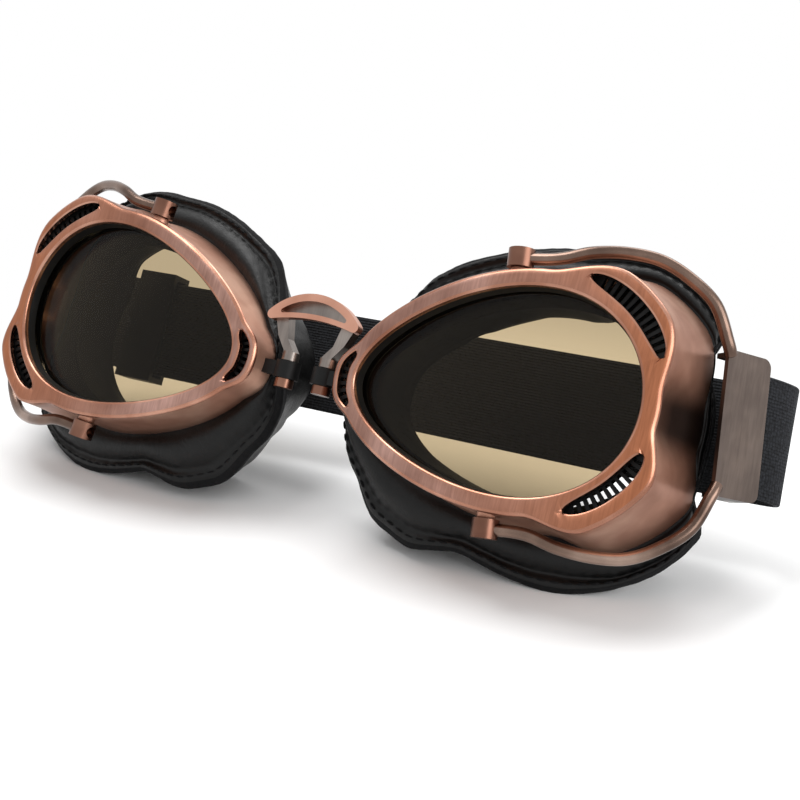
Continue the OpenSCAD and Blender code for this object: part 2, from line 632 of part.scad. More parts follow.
bridge_crescent();
bridge_yoke();
side(-1) nose_pin();  // left_nose_pin
side(1) nose_pin();  // right_nose_pin
side(-1) eye_frame();  // left_eye_frame
side(1) eye_frame();  // right_eye_frame
side(-1) lens();  // left_lens
side(1) lens();  // right_lens
side(-1) lens_gasket();  // left_lens_gasket
side(1) lens_gasket();  // right_lens_gasket
side(-1) vent_grilles();  // left_vent_grilles
side(1) vent_grilles();  // right_vent_grilles
side(-1) pad();  // left_pad
side(1) pad();  // right_pad
side(-1) pad_lining();  // left_pad_lining
side(1) pad_lining();  // right_pad_lining
side(-1) hinge_loop();  // left_hinge_loop
side(1) hinge_loop();  // right_hinge_loop
side(-1) pivot_barrel(1);  // left_upper_pivot
side(1) pivot_barrel(1);  // right_upper_pivot
side(-1) pivot_barrel(-1);  // left_lower_pivot
side(1) pivot_barrel(-1);  // right_lower_pivot
side(-1) arm_wire();  // left_arm_wire
side(1) arm_wire();  // right_arm_wire
side(-1) strap_bracket();  // left_strap_bracket
side(1) strap_bracket();  // right_strap_bracket
side(-1) strap_bar();  // left_strap_bar
side(1) strap_bar();  // right_strap_bar
side(-1) strap_short();  // left_strap_short
side(1) strap_long();  // right_strap_long
strap_adjuster();
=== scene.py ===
import math

import bpy
import numpy as np
from mathutils import Matrix, Vector, noise


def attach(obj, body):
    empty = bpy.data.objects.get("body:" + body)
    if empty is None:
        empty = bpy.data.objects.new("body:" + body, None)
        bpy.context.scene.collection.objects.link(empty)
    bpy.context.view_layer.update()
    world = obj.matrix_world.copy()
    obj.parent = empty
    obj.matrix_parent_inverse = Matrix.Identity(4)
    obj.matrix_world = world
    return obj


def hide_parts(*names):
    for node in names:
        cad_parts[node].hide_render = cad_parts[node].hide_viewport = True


# Steampunk goggles. Lengths below are millimetres in the eyecup's own axes (X towards the
# temple, Y backwards, Z up) or in the worn goggles, and are turned into the frame's metres.

# Camera
REST_TIP = math.radians(29.4)
REST_BACK, REST_UP = -14.3856, 41.3316


def tip(v):
    c, s = math.cos(REST_TIP), math.sin(REST_TIP)
    v = np.asarray(v, float)
    return np.stack([v[..., 0], v[..., 1] * c + v[..., 2] * s, -v[..., 1] * s + v[..., 2] * c], -1)


def rest(v):
    return tip(v) + np.array([0, REST_BACK, REST_UP])


# The camera as fitted to the photograph, in the axes of the goggles when they are worn: where
# it stands, and which way is right, up and forward for it
CAM_AT = (171.634, -274.263, -31.626)
CAM_RIGHT = (0.86861672, 0.43164923, 0.24327746)
CAM_UP = (-0.17690286, -0.18846144, 0.96601639)
CAM_FORWARD = (-0.46282866, 0.88213447, 0.08734078)

cam_data = bpy.data.cameras.new("camera")
cam_data.sensor_width = 36
cam_data.lens = 58.59
cam_data.clip_start = 0.01
cam = bpy.data.objects.new("camera", cam_data)
bpy.context.scene.collection.objects.link(cam)
right, up, fwd = (Vector(tip(v)) for v in (CAM_RIGHT, CAM_UP, CAM_FORWARD))
place = Matrix((right, up, -fwd)).transposed().to_4x4()
place.translation = Vector(rest(CAM_AT)) / 1000
cam.matrix_world = place
bpy.context.scene.camera = cam

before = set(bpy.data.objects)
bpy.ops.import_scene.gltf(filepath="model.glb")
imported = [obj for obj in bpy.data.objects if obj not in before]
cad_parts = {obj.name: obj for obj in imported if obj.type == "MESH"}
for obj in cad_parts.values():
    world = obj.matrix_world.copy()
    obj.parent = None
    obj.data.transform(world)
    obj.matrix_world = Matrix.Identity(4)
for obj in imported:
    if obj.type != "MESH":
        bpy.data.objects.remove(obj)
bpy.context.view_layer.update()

# Shapes of the eyecup
EYE_A, EYE_B, POINT, EYE_X, EYE_Z, CANT = 34.9, 23.0, 0.26, 53.1, 1.2, math.radians(6.5)
PIVOT_T = math.degrees(math.acos(2.5 / EYE_A))
SLOTS = ((36, 20.5, 5.0, 1.95), (179, 17.3, 4.0, 1.365), (322, 17.8, 4.1, 1.95))
PLATE, SKIRT = 1.6, 1.6
PIVOT_X, PIVOT_FRONT = 2.5, 5.4


def egg(t):
    t = np.radians(t)
    return np.stack([EYE_A * np.cos(t), EYE_B * np.sin(t) * (1 + POINT * np.cos(t))], -1)


def egg_normal(t):
    t = np.radians(t)
    dx, dz = -EYE_A * np.sin(t), EYE_B * (np.cos(t) + POINT * np.cos(2 * t))
    m = np.hypot(dx, dz)
    return np.stack([dz / m, -dx / m], -1)


def around(t, off):
    return egg(t) + np.asarray(off, float)[..., None] * egg_normal(t)


def turn(a, b):
    return np.abs(((np.asarray(a) - b + 540) % 360) - 180)


def smooth(u):
    v = np.clip(u, 0, 1)
    return v * v * (3 - 2 * v)


def hump(t, mid, flat, fall):
    return 1 - smooth((turn(t, mid) - flat) / fall)


def temple(t):
    return (1 + np.cos(np.radians(t))) / 2


def face_w(t):
    return 4.3 + 5.6 * hump(t, 37, 8, 27) + 5.4 * hump(t, 320, 11, 20) + 2.5 * hump(t, 179, 6, 18)


def flare(t):
    return 0.8 + 3 * temple(t) ** 2


def skirt_w(t):
    return face_w(t) + flare(t)


def face_y(x):
    return -10.2 + 2.6 * (x / EYE_A) ** 2


def rim_y(x):
    return 9 + 0.17 * x


def back_y(x):
    return 30 + 0.08 * x


def pad_edge(t):
    return (15.4 + 4.3 * hump(t, 306, 10, 38) + 5.2 * hump(t, 236, 5, 22) + 2.6 * hump(t, 44, 6, 26)
            - 7.2 * hump(t, 166, 12, 34) - 5.4 * hump(t, 358, 21, 8))


def lip_drop(t):
    return 5.5 * hump(t, 212, 16, 30) + 3.5 * hump(t, 137, 6, 24)


def pad_inner(t):
    return np.minimum(2.2 * hump(t, 118, 22, 40) + 6 * hump(t, 42, 9, 20), pad_back_off(t) - 3.4)


def pad_back_off(t):
    x = around(t, 7.7)[..., 0]
    run = back_y(x) - 2.6 - rim_y(x) - 4.2 - lip_drop(t)
    return np.maximum(5.2, pad_edge(t) - 1.8 - math.tan(REST_TIP) * run)


def barrel_seat():
    return 0.5 + max(float(around(t, face_w(t) + 0.15 * flare(t))[1])
                     for t in np.arange(PIVOT_T - 8, PIVOT_T + 8.01, 1))


def on(surface, t, off, deep):
    """Points at angle t, off outwards from the eye opening, deep behind a surface y(x)."""
    p = around(t, off)
    return np.stack([p[..., 0], surface(p[..., 0]) + deep, p[..., 1]], -1)


def worn(p):
    p = np.asarray(p, float)
    c, s = math.cos(CANT), math.sin(CANT)
    return np.stack([EYE_X + p[..., 0] * c - p[..., 2] * s, p[..., 1],
                     EYE_Z + p[..., 0] * s + p[..., 2] * c], -1)


# Materials
def new_mat(name, base, rough, metal=0.0, **sockets):
    m = bpy.data.materials.new(name)
    m.use_nodes = True
    b = m.node_tree.nodes["Principled BSDF"]
    b.inputs["Base Color"].default_value = (*base, 1)
    b.inputs["Roughness"].default_value = rough
    b.inputs["Metallic"].default_value = metal
    for key, value in sockets.items():
        b.inputs[key.replace("_", " ")].default_value = value
    return m, m.node_tree, b


def srgb(r, g, b):
    def f(c):
        c /= 255
        return c / 12.92 if c <= 0.04045 else ((c + 0.055) / 1.055) ** 2.4
    return f(r), f(g), f(b)


def node(tree, kind, **values):
    n = tree.nodes.new(kind)
    for key, value in values.items():
        if key in n.inputs:
            n.inputs[key].default_value = value
        else:
            setattr(n, key, value)
    return n


def mapped(tree, source, scale, rot=(0, 0, 0)):
    c = node(tree, "ShaderNodeTexCoord")
    m = node(tree, "ShaderNodeMapping")
    m.inputs["Scale"].default_value = scale
    m.inputs["Rotation"].default_value = rot
    tree.links.new(c.outputs[source], m.inputs["Vector"])
    return m.outputs["Vector"]


def ramp(tree, fac, stops):
    r = node(tree, "ShaderNodeValToRGB")
    while len(r.color_ramp.elements) < len(stops):
        r.color_ramp.elements.new(0.5)
    for e, (pos, col) in zip(r.color_ramp.elements, stops):
        e.position = pos
        e.color = (*col, 1) if len(col) == 3 else col
    tree.links.new(fac, r.inputs["Fac"])
    return r.outputs["Color"]


def noise_tex(tree, vector, scale, detail=4.0, rough=0.6, dist=0.0):
    n = node(tree, "ShaderNodeTexNoise", Scale=scale, Detail=detail, Roughness=rough, Distortion=dist)
    tree.links.new(vector, n.inputs["Vector"])
    return n.outputs["Fac"]


def bump(tree, bsdf, height, strength, distance, before=None):
    b = node(tree, "ShaderNodeBump", Strength=strength, Distance=distance)
    tree.links.new(height, b.inputs["Height"])
    if before is not None:
        tree.links.new(before, b.inputs["Normal"])
    if bsdf is not None:
        tree.links.new(b.outputs["Normal"], bsdf.inputs["Normal"])
    return b.outputs["Normal"]


def mix(tree, a, b, fac, mode="MIX"):
    n = node(tree, "ShaderNodeMix", data_type="RGBA", blend_type=mode)
    for sock, v in ((n.inputs[6], a), (n.inputs[7], b), (n.inputs[0], fac)):
        if isinstance(v, bpy.types.NodeSocket):
            tree.links.new(v, sock)
        else:
            sock.default_value = v if not isinstance(v, tuple) else (*v, 1)
    return n.outputs[2]


def upright(tree, scale):
    """Object coordinates turned so that Z runs up the worn goggles, then scaled."""
    c = node(tree, "ShaderNodeTexCoord")
    r = node(tree, "ShaderNodeVectorRotate", rotation_type="X_AXIS", Angle=REST_TIP)
    m = node(tree, "ShaderNodeMapping")
    m.inputs["Scale"].default_value = scale
    tree.links.new(c.outputs["Object"], r.inputs["Vector"])
    tree.links.new(r.outputs["Vector"], m.inputs["Vector"])
    return m.outputs["Vector"]


def copper(name, dark, mid, light, rough=0.36, streak=(1.0, 16.0), source="UV", outer=None,
           painted_shade_colour=None, metal=1.0):
    """Brushed copper plating: tone drifts slowly, fine streaks run along the piece."""
    m, tree, b = new_mat(name, mid, rough, metal)
    if source == "UV":
        v = mapped(tree, source, (streak[0], streak[1], streak[1]))
    else:
        v = upright(tree, (streak[0], streak[0], streak[1]))
    streaks = noise_tex(tree, v, 60, 3, 0.7)
    cloud = noise_tex(tree, mapped(tree, "Object", (1, 1, 1)), 55, 3, 0.55)
    tone = ramp(tree, cloud, [(0.3, dark), (0.52, mid), (0.72, light)])
    if outer is not None:
        sep = node(tree, "ShaderNodeSeparateXYZ")
        tree.links.new(mapped(tree, "Object", (1, 1, 1)), sep.inputs[0])
        far = node(tree, "ShaderNodeMath", operation="ABSOLUTE")
        tree.links.new(sep.outputs["X"], far.inputs[0])
        share = node(tree, "ShaderNodeMapRange")
        share.inputs["From Min"].default_value = 0.04
        share.inputs["From Max"].default_value = 0.09
        tree.links.new(far.outputs[0], share.inputs["Value"])
        tone = mix(tree, tone, outer, share.outputs["Result"])
    # Painted shade: where the mesh's shade attribute is high, the tone is mixed towards a near-black colour.
    if painted_shade_colour is not None:
        shade_amount = node(tree, "ShaderNodeAttribute", attribute_name="patina")
        tone = mix(tree, tone, painted_shade_colour, shade_amount.outputs["Fac"])
    fine = ramp(tree, streaks, [(0.25, (0.62, 0.6, 0.6)), (0.75, (1.1, 1.1, 1.1))])
    tree.links.new(mix(tree, tone, fine, 0.75, "MULTIPLY"), b.inputs["Base Color"])
    r = node(tree, "ShaderNodeMapRange")
    r.inputs["To Min"].default_value = rough - 0.08
    r.inputs["To Max"].default_value = rough + 0.1
    tree.links.new(streaks, r.inputs["Value"])
    tree.links.new(r.outputs["Result"], b.inputs["Roughness"])
    bump(tree, b, streaks, 0.12, 0.00005)
    return m


FACE = copper("copper_face", srgb(132, 96, 84), srgb(163, 126, 113), srgb(190, 152, 140), 0.4,
              (30.0, 2.0), "Object", outer=srgb(168, 108, 78))
EDGE = copper("copper_edge", srgb(146, 98, 78), srgb(178, 127, 105), srgb(214, 165, 143), 0.26)
# SIDE carries painted shade: a near-black colour in the skirt's groove and along its rim at the pad.
SIDE = copper("copper_side", srgb(160, 110, 88), srgb(194, 144, 121), srgb(224, 180, 156), 0.38,
              painted_shade_colour=srgb(22, 16, 14), metal=0.75)
CREST = copper("copper_crest", srgb(184, 132, 110), srgb(212, 160, 138), srgb(232, 186, 166), 0.34)
BARREL = copper("copper_barrel", srgb(100, 68, 56), srgb(130, 94, 79), srgb(164, 122, 102), 0.3)
WIRE = copper("copper_wire", srgb(84, 68, 60), srgb(130, 108, 96), srgb(178, 154, 140), 0.24)
BRACKET = copper("copper_bracket", srgb(70, 62, 58), srgb(84, 75, 70), srgb(100, 89, 82), 0.42,
                 (16.0, 0.7), "Object")
STEEL = copper("grey_metal", srgb(112, 106, 102), srgb(146, 138, 132), srgb(172, 163, 156), 0.32,
               (10.0, 1.0), "Object")


def black(name, base, rough, grain, depth, strength=0.35, **sockets):
    m, tree, b = new_mat(name, base, rough, 0.0, **sockets)
    g = noise_tex(tree, mapped(tree, "Object", (1, 1, 1)), grain, 3, 0.6)
    bump(tree, b, g, strength, depth)
    r = node(tree, "ShaderNodeMapRange")
    r.inputs["To Min"].default_value = max(0.05, rough - 0.08)
    r.inputs["To Max"].default_value = min(1, rough + 0.08)
    tree.links.new(g, r.inputs["Value"])
    tree.links.new(r.outputs["Result"], b.inputs["Roughness"])
    return m


RUBBER = black("gasket_rubber", srgb(9, 9, 9), 0.45, 900, 0.00004, Specular_IOR_Level=0.25)
PLASTIC = black("black_nylon", srgb(8, 8, 8), 0.5, 1200, 0.00005, Specular_IOR_Level=0.22)


def leather():
    m, tree, b = new_mat("black_leather", srgb(5, 5, 5), 0.38, 0.0, Specular_IOR_Level=0.26)
    o = mapped(tree, "Object", (1, 1, 1))
    cells = node(tree, "ShaderNodeTexVoronoi", feature="DISTANCE_TO_EDGE", Scale=1150.0)
    tree.links.new(o, cells.inputs["Vector"])
    creases = noise_tex(tree, o, 240, 6, 0.65, 1.5)
    fine = noise_tex(tree, o, 2600, 2, 0.5)
    one = bump(tree, None, cells.outputs["Distance"], 0.35, 0.00012)
    two = bump(tree, None, creases, 0.5, 0.00035, one)
    bump(tree, b, fine, 0.25, 0.00006, two)
    r = node(tree, "ShaderNodeMapRange")
    r.inputs["To Min"].default_value = 0.28
    r.inputs["To Max"].default_value = 0.52
    tree.links.new(creases, r.inputs["Value"])
    tree.links.new(r.outputs["Result"], b.inputs["Roughness"])
    return m


def cloth(name, base, pitch, depth):
    m, tree, b = new_mat(name, base, 0.85, 0.0, Sheen_Weight=0.07, Sheen_Roughness=0.5,
                         Specular_IOR_Level=0.18)
    b.inputs["Sheen Tint"].default_value = (*srgb(120, 120, 125), 1)
    o = mapped(tree, "Object", (1, 1, 1))
    f = noise_tex(tree, o, pitch, 4, 0.7)
    c = ramp(tree, noise_tex(tree, o, 400, 3, 0.6),
             [(0.3, tuple(x * 0.6 for x in base)), (0.7, tuple(x * 1.5 for x in base))])
    tree.links.new(c, b.inputs["Base Color"])
    bump(tree, b, f, 0.7, depth)
    return m


LEATHER = leather()
INSIDE = black("pad_inside", srgb(5, 5, 5), 0.6, 700, 0.00003, 0.2, Specular_IOR_Level=0.12)
VELOUR = cloth("velour", srgb(12, 12, 13), 2600, 0.0003)
BINDING = cloth("binding", srgb(13, 13, 14), 1500, 0.0002)
THREAD = cloth("thread", srgb(12, 12, 13), 3000, 0.0001)


def webbing():
    """Knitted elastic: rows of small loops along the strap, with painted shade in the gaps between the
    loops.
    """
    m, tree, b = new_mat("elastic_webbing", srgb(28, 29, 32), 0.8, 0.0, Sheen_Weight=0.1,
                         Sheen_Roughness=0.45, Specular_IOR_Level=0.2)
    b.inputs["Sheen Tint"].default_value = (*srgb(120, 124, 134), 1)
    u = mapped(tree, "UV", (1, 1, 1))
    cells = node(tree, "ShaderNodeTexVoronoi", feature="F1", Scale=1.25, Randomness=0.45)
    tree.links.new(u, cells.inputs["Vector"])
    rows = node(tree, "ShaderNodeTexWave", wave_type="BANDS", bands_direction="Y", Scale=0.42,
                Distortion=0.6)
    tree.links.new(u, rows.inputs["Vector"])
    rows.inputs["Detail"].default_value = 1.0
    height = mix(tree, cells.outputs["Distance"], rows.outputs["Color"], 0.35)
    # Painted shade: the loop tops are lighter and the gaps between the loops darker, following the same
    # cells as the bump.
    tone = ramp(tree, cells.outputs["Distance"], [(0.1, srgb(38, 40, 44)), (0.75, srgb(9, 9, 11))])
    tree.links.new(tone, b.inputs["Base Color"])
    inv = node(tree, "ShaderNodeInvert")
    tree.links.new(height, inv.inputs["Color"])
    bump(tree, b, inv.outputs["Color"], 0.9, 0.00045)
    return m


WEBBING = webbing()


def tinted_lens():
    """Smoked amber plastic: light passes through the tint, and the surface is glossy."""
    m = bpy.data.materials.new("smoked_lens")
    m.use_nodes = True
    tree = m.node_tree
    b = tree.nodes["Principled BSDF"]
    out = tree.nodes["Material Output"]
    b.inputs["Base Color"].default_value = (*srgb(18, 16, 14), 1)
    b.inputs["Roughness"].default_value = 0.05
    b.inputs["IOR"].default_value = 1.5
    clear = node(tree, "ShaderNodeBsdfTransparent")
    clear.inputs["Color"].default_value = (0.72, 0.64, 0.5, 1)
    m2 = node(tree, "ShaderNodeMixShader")
    m2.inputs[0].default_value = 0.04
    f = node(tree, "ShaderNodeFresnel", IOR=1.2)
    s = node(tree, "ShaderNodeBsdfGlossy", Roughness=0.03)
    m3 = node(tree, "ShaderNodeMixShader")
    tree.links.new(f.outputs[0], m3.inputs[0])
    tree.links.new(clear.outputs[0], m2.inputs[1])
    tree.links.new(b.outputs[0], m2.inputs[2])
    tree.links.new(m2.outputs[0], m3.inputs[1])
    tree.links.new(s.outputs[0], m3.inputs[2])
    tree.links.new(m3.outputs[0], out.inputs["Surface"])
    return m


LENS = tinted_lens()


# Meshes
def build(name, verts_mm, faces, mats, uv=None, mat_of=None, side=1, angle=32, placed=rest,
          patina=None):
    """A mesh from points of the worn goggles. side -1 mirrors it to the left."""
    v = np.array(placed(np.asarray(verts_mm, float)))
    faces = [list(f) for f in faces]
    if side < 0:
        v[:, 0] *= -1
        faces = [f[::-1] for f in faces]
        if uv is not None:
            uv = [u[::-1] for u in uv]
    me = bpy.data.meshes.new(name)
    me.from_pydata((v / 1000).tolist(), [], faces)
    for m in mats:
        me.materials.append(m)
    if mat_of is not None:
        me.polygons.foreach_set("material_index", np.asarray(mat_of, dtype=np.int32))
    if uv is not None:
        layer = me.uv_layers.new(name="UVMap")
        layer.data.foreach_set("uv", np.asarray([c for u in uv for c in u], float).ravel())
    # The per-point share of painted shade, stored as a mesh attribute for the shader.
    if patina is not None:
        me.attributes.new("patina", "FLOAT", "POINT").data.foreach_set("value", patina)
    me.polygons.foreach_set("use_smooth", np.ones(len(faces), dtype=bool))
    me.update()
    me.validate()
    me.set_sharp_from_angle(angle=math.radians(angle))
    o = bpy.data.objects.new(name, me)
    bpy.context.scene.collection.objects.link(o)
    return o


def grid(rings, loop_u, loop_v, base=0):
    """Faces and UVs (in mm) of a grid of points, rings[i][j]."""
    rings = np.asarray(rings, float)
    n, m = rings.shape[:2]
    du = np.linalg.norm(np.roll(rings, -1, 0) - rings, axis=2).mean(1)
    dv = np.linalg.norm(np.roll(rings, -1, 1) - rings, axis=2)
    u = np.concatenate([[0], np.cumsum(du)])
    v = np.concatenate([np.zeros((n, 1)), np.cumsum(dv, 1)], 1)
    faces, uv, cell = [], [], []
    for i in range(n if loop_u else n - 1):
        k = (i + 1) % n
        for j in range(m if loop_v else m - 1):
            l = (j + 1) % m
            faces.append([base + i * m + j, base + i * m + l, base + k * m + l, base + k * m + j])
            uv.append([(u[i], v[i, j]), (u[i], v[i, j + 1]), (u[i + 1], v[k, j + 1]), (u[i + 1], v[k, j])])
            cell.append((i, j))
    return rings.reshape(-1, 3), faces, uv, cell


def join_parts(parts):
    """Several (verts, faces, uv, mats) put into one."""
    verts, faces, uv, mats, base = [], [], [], [], 0
    for v, f, u, m in parts:
        verts.append(np.asarray(v, float))
        faces += [[i + base for i in q] for q in f]
        uv += u
        mats += m
        base += len(v)
    return np.concatenate(verts), faces, uv, mats


def revolve(profile, centre, axis, start, sides=40, mat=0):
    """Solid of revolution: profile of (radius, distance along axis); closed at radius 0."""
    axis = np.asarray(axis, float) / np.linalg.norm(axis)
    a = np.cross(axis, start)
    a /= np.linalg.norm(a)
    b = np.cross(axis, a)
    rings = []
    for k in range(sides):
        t = 2 * math.pi * k / sides
        d = a * math.cos(t) + b * math.sin(t)
        rings.append([centre + axis * h + d * r for r, h in profile])
    v, f, uv, _ = grid(rings, True, False)
    return v, [q[::-1] for q in f], [u[::-1] for u in uv], [mat] * len(f)


SIDES = (("right", 1), ("left", -1))


# Eye frames: plate, rolled edges and skirt in one sweep, with the vent slots cut through
def slot_steps(mid, half, n):
    phi = np.radians(np.linspace(-90, 90, n))
    return list(mid + half * np.sin(phi))


def frame_angles():
    out = []
    spans = [(s[0] - s[1], s[0] + s[1], s) for s in SLOTS]
    for i, (_, b, s) in enumerate(spans):
        ts = slot_steps(s[0], s[1], 25)
        out += [(t, True) for t in ts[:-1]]
        nxt = spans[(i + 1) % 3][0] + (360 if i == 2 else 0)
        n = int(math.ceil((nxt - b) / 1.5))
        out += [(b + (nxt - b) * k / n, False) for k in range(n)]
    return out


def slot_at(t):
    for s in SLOTS:
        if turn(t, s[0]) <= s[1] * 1.001:
            return s
    return None


def frame_section(t):
    w, f = float(face_w(t)), float(flare(t))
    s = slot_at(t)
    if s is None:
        c, h, lip = w / 2, 0.3, 0.0
    else:
        u = min(1.0, float(turn(t, s[0])) / s[1])
        h = max(0.12, s[3] * math.sqrt(max(0.0, 1 - u ** 3)))
        c, lip = min(s[2], w - SKIRT - h - 0.2), 0.28
    F = lambda off, deep: on(face_y, np.float64(t), np.float64(off), deep)
    corner, rim = F(w, 1.2), on(rim_y, np.float64(t), np.float64(w + f), 0)
    pts = [F(0, PLATE), F(0, 0.7), F(0.12, 0.32), F(0.38, 0.09), F(0.75, 0.0),
           F(c - h - 1.4 * lip, 0), F(c - h, lip), F(c + h, lip), F(c + h + 1.4 * lip, 0),
           F(w - 1.5, 0.0), F(w - 0.85, 0.09), F(w - 0.35, 0.36), F(w - 0.08, 0.75), corner]
    dent = 2.4 * float(hump(t, 357, 3, 14))
    for q, share in ((0.12, 0.04), (0.3, 0.14), (0.55, 0.35), (0.8, 0.68)):
        p = F(w + share * f - dent * math.sin(math.pi * q ** 0.8), 0)
        pts.append(np.array([p[0], corner[1] + (rim[1] - corner[1]) * q, p[2]]))
    pts += [rim + [0, -0.5, 0], rim, on(rim_y, np.float64(t), np.float64(w + f - SKIRT), 0)]
    p = F(w + 0.35 * f - SKIRT - 0.9 * dent, 0)
    pts.append(np.array([p[0], corner[1] + (rim[1] - corner[1]) * 0.55, p[2]]))
    pts += [F(w - SKIRT, PLATE), F(c + h, PLATE), F(c - h, PLATE)]
    return pts


# How strongly painted shade darkens each point of the section, in the skirt's groove and along its rim where
# it meets the pad
GROOVE_SHADE = {13: 0.05, 14: 0.3, 15: 0.75, 16: 0.98, 17: 1.0, 18: 1.0, 19: 0.95}
RIM_SHADE = {16: 0.04, 17: 0.22, 18: 0.5, 19: 0.55}
FRONT_SLOT, BACK_SLOT = 6, 23
EDGE_CELLS = {1, 2, 3, 5, 7, 10, 11, 12}
FACE_CELLS = {4, 8, 9}


def eye_frame(name, side):
    angles = frame_angles()
    rings = np.array([frame_section(t) for t, _ in angles])
    n, m = rings.shape[:2]
    v, f, uv, cell = grid(worn(rings), True, True)
    keep, mats = [], []
    for q, (i, j) in enumerate(cell):
        if angles[i][1] and j in (FRONT_SLOT, BACK_SLOT):
            continue
        keep.append(q)
        if j in (0, FRONT_SLOT):
            mats.append(1 if j == 0 else 0)
        elif j in EDGE_CELLS:
            mats.append(1)
        elif j in FACE_CELLS:
            mats.append(0)
        else:
            mats.append(2)
    faces, uvs = [f[q] for q in keep], [uv[q] for q in keep]
    a, b = FRONT_SLOT, BACK_SLOT
    for i in range(n):
        k, p = (i + 1) % n, (i - 1) % n
        if angles[i][1]:
            faces += [[k * m + a, i * m + a, i * m + b + 1, k * m + b + 1],
                      [i * m + a + 1, k * m + a + 1, k * m + b, i * m + b]]
            uvs += [[(0, 0), (0, 1), (1, 1), (1, 0)]] * 2
            mats += [1, 1]
        if angles[i][1] != angles[p][1]:
            q = [i * m + a, i * m + a + 1, i * m + b, i * m + b + 1]
            if not angles[i][1]:
                q = [q[1], q[0], q[3], q[2]]
            faces.append(q)
            uvs.append([(0, 0), (0, 1), (1, 1), (1, 0)])
            mats.append(1)
    parts = [(v, faces, uvs, mats)]
    # Painted shade on the skirt: dark in its groove at the temple and along its rim where it meets the pad.
    shade_amount = np.zeros((n, m))
    for i, (t, _) in enumerate(angles):
        g = float(hump(t, 357, 4, 13))
        for j in range(13, 20):
            shade_amount[i, j] = max(0.96 * g * GROOVE_SHADE[j], RIM_SHADE.get(j, 0.0))
    for z in (1, -1):
        ang = math.degrees(math.acos(PIVOT_X / EYE_A))
        top = barrel_seat()
        start = float(around(np.float64(ang), 1.9)[1]) + 0.25
        c = np.array([PIVOT_X, -PIVOT_FRONT, 0.0])
        prof = [(1.27, start), (2.2, start), (2.2, top - 0.2), (2.05, top), (1.27, top), (1.27, start)]
        bv, bf, bu, bm = revolve(prof, c, (0, 0, z), (1, 0, 0), 32, 2)
        parts.append((worn(bv), bf, bu, bm))
    v, f, u, mm = join_parts(parts)
    shade_amount = np.concatenate([shade_amount.ravel(), np.zeros(len(v) - n * m)])
    return build(name, v, f, [FACE, EDGE, SIDE], u, mm, side, 38, patina=shade_amount)


# Lens: a shallow dome of even thickness
def lens(name, side):
    ts = np.linspace(0, 360, 144, endpoint=False)
    rings = []
    for t in ts:
        e = around(np.float64(t), 0.7)
        pts = []
        for share, deep in [(s, 4.2) for s in (0.02, 0.2, 0.4, 0.6, 0.8, 0.95, 1)] + \
                           [(s, 6.0) for s in (1, 0.95, 0.8, 0.6, 0.4, 0.2, 0.02)]:
            x, z = e * share
            pts.append([x, face_y(x) + deep, z])
        rings.append(pts)
    v, f, uv, _ = grid(worn(np.array(rings)), True, False)
    n, m = len(ts), 14
    f.append([i * m for i in range(n)][::-1])
    uv.append([(0, 0)] * n)
    f.append([i * m + m - 1 for i in range(n)])
    uv.append([(0, 0)] * n)
    return build(name, v, f, [LENS], uv, None, side, 40)


def gasket(name, side):
    ts = np.linspace(0, 360, 160, endpoint=False)
    prof = ((0.05, 1.65), (-0.15, 2.4), (-0.4, 4.0), (-0.25, 4.15), (0.75, 4.15), (0.75, 6.05),
            (-0.25, 6.05), (-0.4, 6.2), (-0.4, 6.6), (-0.2, 6.7), (1.9, 6.7), (1.9, 1.65))
    rings = np.array([[on(face_y, np.float64(t), np.float64(o), d) for o, d in prof] for t in ts])
    v, f, uv, _ = grid(worn(rings), True, True)
    return build(name, v, f, [RUBBER], uv, None, side, 40)


# Pad: crowned ring of leather over foam, a sewn channel, a bound lip
def pad_profile(t):
    w = float(pad_edge(t))
    s = float(skirt_w(t)) + 0.3
    g = w - s
    h = min(1.0, g / 6)
    R = lambda off, deep: on(rim_y, np.float64(t), np.float64(off), deep)
    B = lambda off, deep: on(back_y, np.float64(t), np.float64(off), deep)
    b, d, a = float(pad_back_off(t)), float(lip_drop(t)), float(pad_inner(t))
    lip, shoulder = R(w - 0.6, 4.2 + d), B(b + 1.2, -2.6)
    wa = around(np.float64(t), w - 0.9 + (b + 1.2 - w + 0.9) * 0.45)
    waist = np.array([wa[0], lip[1] + (shoulder[1] - lip[1]) * 0.45, wa[1]])
    inner = around(np.float64(t), -0.4 + 0.6 * a)
    iy = rim_y(inner[0]) + (back_y(inner[0]) - rim_y(inner[0])) * 0.6
    pts = [R(0, 0), R(s, 0), R(s + 0.15 * g, 0.04 * d - 0.6 * h), R(s + 0.3 * g, 0.1 * d - 0.7 * h),
           R(s + 0.45 * g, 0.2 * d - 0.2 * h), R(s + 0.58 * g, 0.35 * d + 0.8 * h),
           R(s + 0.66 * g, 0.46 * d + 1.6 * h), R(s + 0.72 * g, 0.57 * d + 1.5 * h),
           R(s + 0.8 * g, 0.7 * d + 0.95 * h), R(s + 0.9 * g, 0.87 * d + 1.1 * h),
           R(w - 0.2, 1.9 + d), R(w + 0.05, 2.7 + d), R(w - 0.25, 3.7 + d), lip,
           lip * 0.55 + waist * 0.45, waist, waist * 0.5 + shoulder * 0.5,
           shoulder, shoulder * 0.45 + B(b - 0.6, -1.0) * 0.55, B(b - 0.6, -1.0), B(1 + a, -1.0),
           np.array([inner[0], iy, inner[1]])]
    return pts


LIP = (9, 13)
INNER = 20


